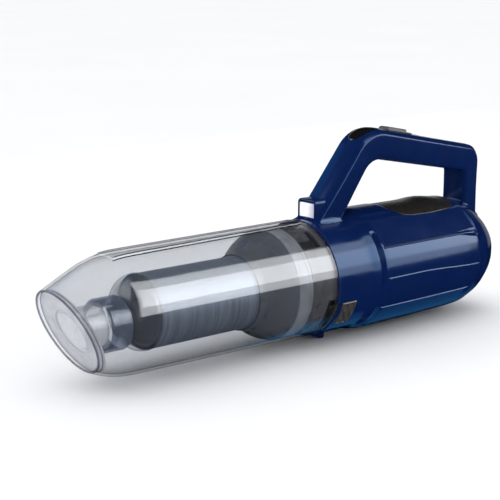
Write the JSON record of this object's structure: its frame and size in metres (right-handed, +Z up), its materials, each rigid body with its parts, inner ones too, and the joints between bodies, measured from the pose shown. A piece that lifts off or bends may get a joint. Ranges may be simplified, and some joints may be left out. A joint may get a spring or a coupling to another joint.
{
  "type": "handheld vacuum cleaner",
  "caption": "Cordless cyclonic hand vacuum with a clear dust cup, twist-out filter, loop handle, slide switch, work lamp and push-button cup latches.",
  "frame": {"origin": "under the middle of the overall box, at the level the fin stands on", "axes": "+X from the nose to the battery end, +Z up, handle on top; the axis of the barrel is 56 mm over the origin"},
  "size_m": [0.4882, 0.1092, 0.1819],
  "materials": {
    "clear_plastic": "smoke-clear, glossy",
    "tinted_plastic": "tinted clear, glossy",
    "flap_plastic": "translucent grey",
    "steel_pin": "drawn wire",
    "filter_plastic": "fine texture",
    "screen_metal": "fine perforated, brushed",
    "filter_paper": "pleated paper",
    "frosted_plastic": "frosted translucent",
    "dark_plastic": "satin",
    "seal_rubber": "matte",
    "housing_blue": "high gloss navy",
    "lens_plastic": "frosted, lit from behind",
    "circuit_board": "solder mask",
    "black_gloss": "piano black",
    "switch_grey": "ribbed satin",
    "smoked_panel": "smoked, glossy",
    "button_grey": "cross-hatched",
    "fan_plastic": "moulded",
    "shroud_plastic": "moulded",
    "foam": "open-cell foam",
    "motor_steel": "plated",
    "armature_steel": "laminations and winding",
    "magnet_black": "sintered",
    "bearing_steel": "ground",
    "cell_wrap": "shrink-wrapped cells",
    "holder_plastic": "moulded",
    "lead_plastic": "insulated lead",
    "screw_steel": "zinc-plated"
  },
  "bodies": {
    "housing": {"filter_seat": "dark_plastic", "cup_seal": "seal_rubber", "housing_left": "housing_blue", "housing_right": "housing_blue", "lamp_lens": "lens_plastic", "lamp_board": "circuit_board", "grip_insert": "black_gloss", "switch_body": "dark_plastic", "switch_lead": "lead_plastic", "deck_panel": "smoked_panel", "rear_grille": "dark_plastic", "charging_socket": "black_gloss", "exhaust_foam": "foam", "fan_shroud": "shroud_plastic", "motor_can": "motor_steel", "magnet_left": "magnet_black", "magnet_right": "magnet_black", "bearing_front": "bearing_steel", "bearing_rear": "bearing_steel", "motor_mount_front": "seal_rubber", "motor_mount_rear": "seal_rubber", "battery_cells": "cell_wrap", "cell_holder_front": "holder_plastic", "cell_holder_rear": "holder_plastic", "control_board": "circuit_board", "housing_screws": "screw_steel"},
    "cup": {"dust_cup": "clear_plastic", "inlet_tube": "tinted_plastic", "inlet_collar": "tinted_plastic", "flap_pin": "steel_pin"},
    "flap": {"inlet_flap": "flap_plastic"},
    "filter": {"filter_cap": "filter_plastic", "filter_screen": "screen_metal", "filter_core": "filter_paper", "filter_skirt": "filter_plastic", "filter_end_ring": "filter_plastic", "filter_ring": "frosted_plastic", "filter_base": "filter_plastic"},
    "slider": {"switch_slider": "switch_grey"},
    "button_left": {"release_button_left": "button_grey"},
    "button_right": {"release_button_right": "button_grey"},
    "rotor": {"impeller": "fan_plastic", "motor_shaft": "bearing_steel", "armature": "armature_steel"}
  },
  "joints": [
    {"name": "cup_off", "type": "slide", "parent": "housing", "child": "cup", "axis": [-1, 0, 0], "range_m": [0, 0.2]},
    {"name": "flap_swing", "type": "hinge", "parent": "cup", "child": "flap", "pos_m": [-0.19885, 0, 0.0636], "axis": [0, -1, 0], "range_deg": [0, 30]},
    {"name": "filter_twist", "type": "hinge", "parent": "housing", "child": "filter", "pos_m": [-0.00285, 0, 0.056], "axis": [1, 0, 0], "range_deg": [0, 22]},
    {"name": "switch_slide", "type": "slide", "parent": "housing", "child": "slider", "axis": [-0.9808, 0, 0.1951], "range_m": [0, 0.008]},
    {"name": "release_left", "type": "slide", "parent": "housing", "child": "button_left", "axis": [0, 0.8616, 0.5075], "range_m": [0, 0.0025], "stiffness_N_per_m": 800, "springref_m": -0.001},
    {"name": "release_right", "type": "slide", "parent": "housing", "child": "button_right", "axis": [0, -0.8616, 0.5075], "range_m": [0, 0.0025], "stiffness_N_per_m": 800, "springref_m": -0.001},
    {"name": "rotor_spin", "type": "hinge", "parent": "housing", "child": "rotor", "pos_m": [0.07415, 0, 0.056], "axis": [1, 0, 0], "continuous": true}
  ]
}
